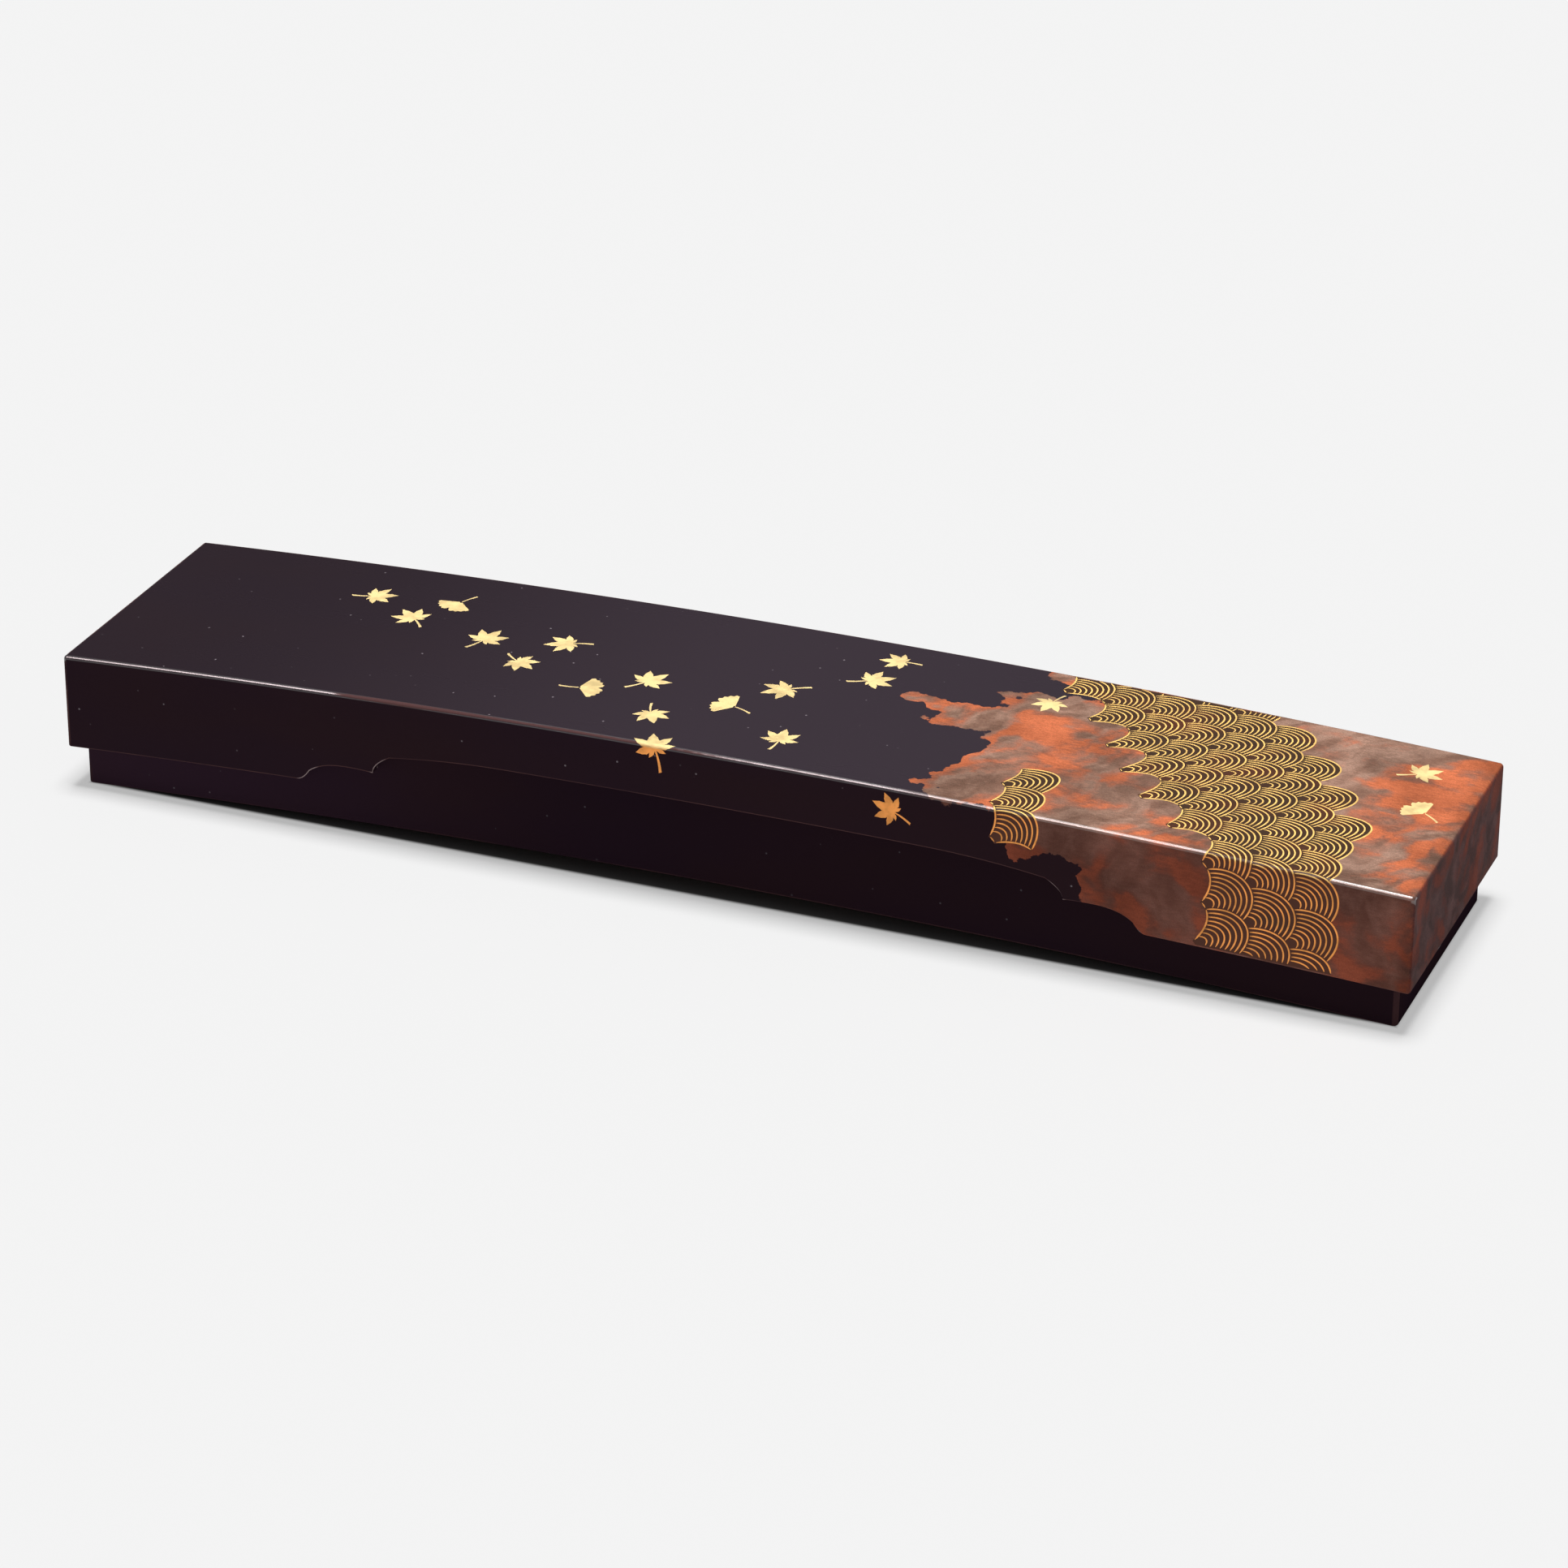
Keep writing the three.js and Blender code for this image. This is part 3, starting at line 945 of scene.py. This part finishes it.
def edge_wear(g, handled):
    """Masks of the rounded edges: where they are worn through, and where they are burnished instead."""
    marked = g.add("Attribute", attribute_name="wear").outputs["Fac"]
    worn = g.plus(g.noise(WEAR_PATCHES), g.times(g.noise(WEAR_CHIPS), 0.15))
    mask = g.times(marked, g.range(g.plus(worn, g.times(handled, 0.38)), 0.56, 0.78))
    return mask, g.minus(marked, mask)


def pale_flecks(g):
    """Mask of sparse pale specks."""
    cells = g.add("TexVoronoi", {"Vector": g.place(), "Scale": FLECK_CELLS}, feature="F1").outputs
    rare = g.range(g.add("SeparateColor", {0: cells["Color"]}), 0.72, 0.95)
    return (g.times(rare, g.range(cells["Distance"], 0.04, 0.1, 1, 0)),)


def polish_ripple(g):
    """Height of the slight unevenness left by hand polishing."""
    return (g.plus(g.noise(BROAD_RIPPLE), g.times(g.noise(FINE_RIPPLE), 0.02)),)


# Name, inputs and outputs of the node group that each function builds
GROUPS = {
    lid_sheet: ("lid sheet", (), ("U", "V", "Outside", "Depth", "Level Place")),
    stroke: ("stroke", ("U", "V", "Start U", "Start V", "End U", "End V", "Half Width"), ("Distance",)),
    edge_wear: ("edge wear", ("Handled",), ("Mask", "Burnish")),
    pale_flecks: ("pale flecks", (), ("Mask",)),
    polish_ripple: ("polish ripple", (), ("Height",)),
}

# Tongues of the marbled lacquer, in millimetres: start U, start V, end V and half width. All end at one U.
MIST = (
    (92, 66, 70, 12), (84, 47, 47, 10), (96, 33, 33, 8), (70, 21, 21, 7), (46, 9, 8, 6), (76, -4, -5, 9.5),
    (74, -20, -20, 9), (66, -34, -34, 7.5), (88, -47, -47, 8), (108, -59, -60, 7), (134, -70, -72, 7),
)
MIST_END = 260
MIST_BLEND = 9


def mist_distance(g, u, v):
    """Distance outside the tongues, softly joined and negative inside."""
    result = None
    for start_u, start_v, end_v, half_width in MIST:
        values = (u, v, start_u, start_v, MIST_END, end_v, half_width)
        distance = g.use(stroke, dict(enumerate(values)))
        result = distance if result is None else g.math("SMOOTH_MIN", result, distance, MIST_BLEND)
    return result


def new_material(name):
    """An empty material: its graph and its Principled shader."""
    material = bpy.data.materials.new(name)
    material.use_nodes = True
    material.node_tree.nodes.clear()
    g = Graph(material.node_tree)
    shader = g.add("BsdfPrincipled")
    g.add("OutputMaterial", {"Surface": shader})
    return material, g, shader


def black_ground(g, colours):
    """Colour and roughness of the black lacquer, before wear."""
    cast = g.range(g.noise(CAST), 0.35, 0.7)
    rough = g.range(g.noise(POLISH), *NOISE_SPAN, 0.26, 0.34)
    return g.mix(cast, colours.plum, colours.brown), rough


def finish_lacquer(g, shader, colour, rough, edge_colour, handled, burnished=None):
    """Wears the edges through, burnishes what is left where asked and adds the polished unevenness."""
    worn = g.use(edge_wear, {"Handled": handled}).outputs
    g.fill(shader, {
        "Base Color": g.mix(worn["Mask"], colour, edge_colour),
        "Roughness": g.plus(rough, g.times(worn["Mask"], 0.15)),
        "Specular IOR Level": 0.03, "Specular Tint": (1, 0.78, 0.94),
        "Coat Roughness": 0.28, "Coat IOR": 1.95,
    })
    if burnished:
        g.put(shader.inputs["Coat Weight"], g.times(worn["Burnish"], burnished))
    g.bump(shader, g.use(polish_ripple), 0.05 * MM, 0.6)


def box_lacquer(colours):
    """Dull black lacquer outside with worn edges and painted light towards the left end, and brown lacquer
    inside, made lighter to stand in for light in its shade.
    """
    material, g, shader = new_material("box_lacquer")
    colour, rough = black_ground(g, colours)
    colour = g.mix(g.times(g.use(pale_flecks), 0.35), colour, colours.dust)
    x, y, _ = g.split(g.place())
    # Painted light: the outside is lighter towards the left end.
    colour = g.scale(g.tint(colour, (0.87, 0.96, 0.98)), g.range(x, -0.2, -0.03, 1.9, 1))
    # The inside takes the lighter inside colour, partly painted light for its shade.
    outside = g.outside(x, y, BOX_X - BOX_WALL, BOX_Y - BOX_WALL)
    colour = g.mix(g.range(outside, 0.1 * MM, 0.5 * MM, 1, 0), colour, colours.inside)
    faded = Vector(colours.worn).lerp(Vector(colours.plum), 0.5)
    finish_lacquer(g, shader, colour, rough, faded, 0.3)
    shader.inputs["Specular IOR Level"].default_value = 0
    return material


def wave_ground(colours):
    """Dark lacquer with reddish patches, behind the wave lines."""
    material, g, shader = new_material("wave_ground")
    depth = g.use(lid_sheet).outputs["Depth"]
    # The reddish colour is heavier on the lid's sides than on its top.
    patches = g.plus(g.noise(STAINS), g.range(depth, *SIDE_DEPTH, 0, 0.28))
    g.fill(shader, {
        "Base Color": g.mix(g.range(patches, 0.42, 0.8), colours.olive, colours.stain),
        "Roughness": 0.35, "Specular IOR Level": 0.15,
    })
    return material


def marbled_ground(g, colours, place, edge):
    """Colour of the marbled lacquer: soft clouds of rust and ash over a brown ground."""
    swirl = g.noise(SWIRL, place, "Color")
    drifted = g.add("VectorMath", {0: swirl, 1: (36, 36, 36), 2: place}, operation="MULTIPLY_ADD")
    drifted = g.add("Mapping", {"Vector": drifted, "Rotation": (0, 0, math.radians(-50))}).outputs[0]
    wisps = g.noise(WISPS, drifted)
    fibres = g.noise(FIBRES, place)
    heat = g.plus(g.noise(CLOUDS, drifted), g.range(edge, -7, -0.5, 0, 0.15))
    for texture, weight in ((wisps, 0.3), (fibres, 0.12)):
        heat = g.plus(heat, g.times(g.minus(texture, 0.5), weight))
    ash = g.mix(g.range(wisps, 0.32, 0.68), colours.umber, colours.ash)
    rust = g.mix(g.range(heat, 0.56, 0.72), colours.ember, colours.rust)
    colour = g.mix(g.range(heat, 0.5, 0.7), ash, rust)
    shade = g.range(g.noise(GRAIN, place), *NOISE_SPAN, 0.8, 1.16)
    return g.scale(colour, g.times(shade, g.range(fibres, *NOISE_SPAN, 0.84, 1.12)))


def shade_marbling(g, colours, marbled, out, depth, blotch):
    """Evens the marbling on the lid's sides, darkens the sides and ends as painted shade, varies it in
    blotches and darkens it towards the end's edge.
    """
    sides = g.range(depth, *SIDE_DEPTH)
    ends = g.range(out, LID_END - 0.6, LID_END - 0.05)
    evened = g.times(g.minus(sides, ends), 0.35)
    # Painted shade: the sides take a darker tint, and the ends a darker one still, as less light falls on
    # them; the end's marbling is also darker in itself.
    painted_side_shade = g.mix(ends, g.mix(sides, (1, 1, 1), (0.74, 0.57, 0.59)), (0.48, 0.37, 0.47))
    blotch = g.range(blotch, *NOISE_SPAN, 0.78, 1.22)
    # Darker towards the end's edge.
    blotch = g.times(blotch, g.range(out, LID_END - 6, LID_END - 0.5, 1, 0.75))
    return g.scale(g.tint(g.mix(evened, marbled, colours.russet), painted_side_shade), blotch)


def lid_lacquer(colours):
    """Black lacquer that gives way to marbled lacquer at the right end."""
    material, g, shader = new_material("lid_lacquer")
    u, v, outside, depth, place = g.use(lid_sheet).outputs
    out = g.size(u)
    colour, rough = black_ground(g, colours)
    # Painted sheen: the outside of the top is lighter and greyer than the sides, and more so towards the
    # right.
    painted_top_sheen = g.times(g.range(depth, 0.2, 1.1, 1, 0), g.range(u, -200, 40, 0.7, 1))
    greyed = g.scale(colours.painted_top_sheen, g.range(u, -180, 0, 0.78, 1.4))
    colour = g.mix(g.times(painted_top_sheen, outside), colour, greyed)
    colour = g.mix(g.use(pale_flecks), colour, colours.dust)

    sway = g.add("SeparateColor", {0: g.noise(SWAY, place, "Color")}).outputs
    edge_u = g.plus(u, g.range(sway[0], 0.2, 0.8, -13, 13))
    edge_v = g.plus(v, g.range(sway[1], 0.2, 0.8, -5, 5))
    ragged = g.range(g.noise(RAGGED, place), 0.25, 0.75, -0.9, 0.9)
    edge = g.plus(mist_distance(g, edge_u, edge_v), ragged)
    mist = g.times(g.range(edge, -0.2, 0.2, 1, 0), outside)
    marbled = marbled_ground(g, colours, place, edge)
    colour = g.mix(mist, colour, shade_marbling(g, colours, marbled, out, depth, sway[2]))
    rough = g.plus(g.plus(rough, g.times(mist, 0.1)), g.range(depth, *SIDE_DEPTH, 0, 0.25))

    front_arris = g.size(g.plus(v, LID_SIDE))
    burnished = g.range(front_arris, 1.2, 1.8, 1, 0)
    handled = g.times(g.between(u, *HANDLED), g.range(front_arris, 0.2, 0.9, 1, 0.2))
    handled = g.greater(handled, g.range(burnished, 0, 1, 0.45, 0))
    handled = g.minus(handled, g.times(mist, 0.5))
    # Painted glint: the rim's steep slopes take a pale colour as highlights; the other rounded edges take the
    # worn colour.
    slopes = g.plus(g.between(out, *STEEP_SLOPE), g.between(out, *FOOT_SLOPE))
    edge_colour = g.mix(g.times(slopes, g.range(depth, *RIM_DEPTH)), colours.worn, colours.glint)
    finish_lacquer(g, shader, colour, rough, edge_colour, handled, burnished)
    return material


def gold_powder(name, gold, painted_side_gold):
    """Gold powder in lacquer: bright on the lid's top, and redder and darker on its sides as painted shade,
    finely grained and uneven.
    """
    material, g, shader = new_material(name)
    depth = g.use(lid_sheet).outputs["Depth"]
    grain = g.noise(POWDER_GRAIN)
    # Painted shade: the sides' gold is redder and darker than the top's.
    colour = g.mix(g.range(depth, *GOLD_SIDE_DEPTH), gold, painted_side_gold)
    g.fill(shader, {
        "Base Color": g.scale(colour, g.range(g.noise(THIN_POWDER), 0.3, 0.62, 0.66, 1.02)),
        "Roughness": g.range(grain, *NOISE_SPAN, 0.52, 0.7),
        "Metallic": g.range(depth, *GOLD_SIDE_DEPTH, 0.15, 0.75),
        "Specular IOR Level": 0.25,
    })
    g.bump(shader, grain, 0.02 * MM, 0.5)
    return material


def bare_wood(name, base, rings):
    """Bare wood with straight fibres."""
    material, g, shader = new_material(name)
    fibres = g.noise(((900 / rings, 900 / rings, 90), 4, 0.65))
    dark = tuple(part * 0.6 for part in base)
    g.fill(shader, {
        "Base Color": g.mix(g.range(fibres, *NOISE_SPAN), dark, tuple(base)),
        "Roughness": g.range(fibres, *NOISE_SPAN, 0.6, 0.8),
    })
    g.bump(shader, fibres, 0.1 * MM, 0.5)
    return material


# The stage, with lamps given as the point that they shine from, strength and angle that they fill in the sky

CAMERA_PLACE = (0.525175, -1.302283, 0.704774)
CAMERA_TURNS = ((21.801, "Z"), (63.916, "X"), (0.197, "Z"))  # degrees
CAMERA_LENS = 129.264
CAMERA_REACH = 30
FLOOR_HALF = 6
FLOOR_GLOW = 0.45
SKY_STRENGTH = 0.12
OVERHEAD = (0, 0.03, 1), 4.35, 18
SHEEN = (-0.36, -0.45, 0.8), 2.4, 25
SHEEN_COLOUR = (1, 0.84, 0.85)


def add_camera():
    """The camera, at the photograph's place and angle."""
    camera = bpy.data.cameras.new("camera")
    camera.lens = CAMERA_LENS
    camera.clip_end = CAMERA_REACH
    pose = Matrix.Translation(CAMERA_PLACE)
    for degrees, axis in CAMERA_TURNS:
        pose = pose @ Matrix.Rotation(math.radians(degrees), 4, axis)
    holder = add_object("camera", camera)
    holder.matrix_world = pose
    bpy.context.scene.camera = holder


def add_sun(name, place, strength, spread):
    """A soft lamp far away in the direction of a point."""
    light = bpy.data.lights.new(name, "SUN")
    light.energy = strength
    light.angle = math.radians(spread)
    holder = add_object(name, light)
    holder.matrix_world = Vector(place).to_track_quat("Z", "Y").to_matrix().to_4x4()
    return holder


def light_table(colours):
    """A pale floor that glows a little all round the box, which softens the shadows."""
    material, g, shader = new_material("floor")
    x, y, _ = g.split(g.place())
    glow = g.range(g.outside(x, y, BOX_X, BOX_Y), -1.5 * MM, 0.5 * MM, 0, FLOOR_GLOW)
    g.fill(shader, {
        "Base Color": colours.floor, "Roughness": 0.9, "Specular IOR Level": 0,
        "Emission Color": glow, "Emission Strength": 1,
    })
    return material


class SLIPBOX_OT_stage(bpy.types.Operator):
    """Set up the floor, the soft studio light and the camera"""

    bl_idname = "slipbox.stage"
    bl_label = "Stage"

    def execute(self, context):
        scene = context.scene
        bm = bmesh.new()
        bmesh.ops.create_grid(bm, x_segments=1, y_segments=1, size=FLOOR_HALF)
        mesh = as_mesh(bm, "floor")
        mesh.materials.append(light_table(scene.slipbox_colours))
        floor = add_object("floor", mesh)

        world = bpy.data.worlds.new("studio")
        world.use_nodes = True
        background = world.node_tree.nodes["Background"]
        Graph(world.node_tree).fill(background, {"Color": (1, 1, 1), "Strength": SKY_STRENGTH})
        scene.world = world
        add_sun("overhead", *OVERHEAD)
        sheen = add_sun("sheen", *SHEEN)
        sheen.data.color = SHEEN_COLOUR
        sheen.visible_diffuse = False
        add_camera()
        scene.view_settings.view_transform = "Standard"
        return {"FINISHED"}


class SLIPBOX_PT_panel(bpy.types.Panel):
    """Buttons that make each group of pieces"""

    bl_label = "Slip Box"
    bl_idname = "SLIPBOX_PT_panel"
    bl_space_type = "VIEW_3D"
    bl_region_type = "UI"
    bl_category = "Slip Box"

    def draw(self, context):
        for operator in OPERATORS:
            self.layout.operator(operator.bl_idname)
        for settings in (context.scene.slipbox_shape, context.scene.slipbox_colours):
            for name in settings.bl_rna.properties.keys():
                if name not in ("rna_type", "name"):
                    self.layout.prop(settings, name)


OPERATORS = (
    SLIPBOX_OT_stage,
    SLIPBOX_OT_box,
    SLIPBOX_OT_lid,
    SLIPBOX_OT_joinery,
    SLIPBOX_OT_waves,
    SLIPBOX_OT_leaves,
)
CLASSES = (SlipBoxShape, SlipBoxColours, *OPERATORS, SLIPBOX_PT_panel)


def register():
    for cls in CLASSES:
        bpy.utils.register_class(cls)
    bpy.types.Scene.slipbox_shape = bpy.props.PointerProperty(type=SlipBoxShape)
    bpy.types.Scene.slipbox_colours = bpy.props.PointerProperty(type=SlipBoxColours)


def unregister():
    del bpy.types.Scene.slipbox_colours
    del bpy.types.Scene.slipbox_shape
    for cls in reversed(CLASSES):
        bpy.utils.unregister_class(cls)


def main():
    """Registers the add-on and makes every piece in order."""
    register()
    bpy.ops.slipbox.stage()
    bpy.ops.slipbox.box()
    bpy.ops.slipbox.lid()
    bpy.ops.slipbox.joinery()
    bpy.ops.slipbox.waves()
    bpy.ops.slipbox.leaves()


if __name__ == "__main__":
    main()
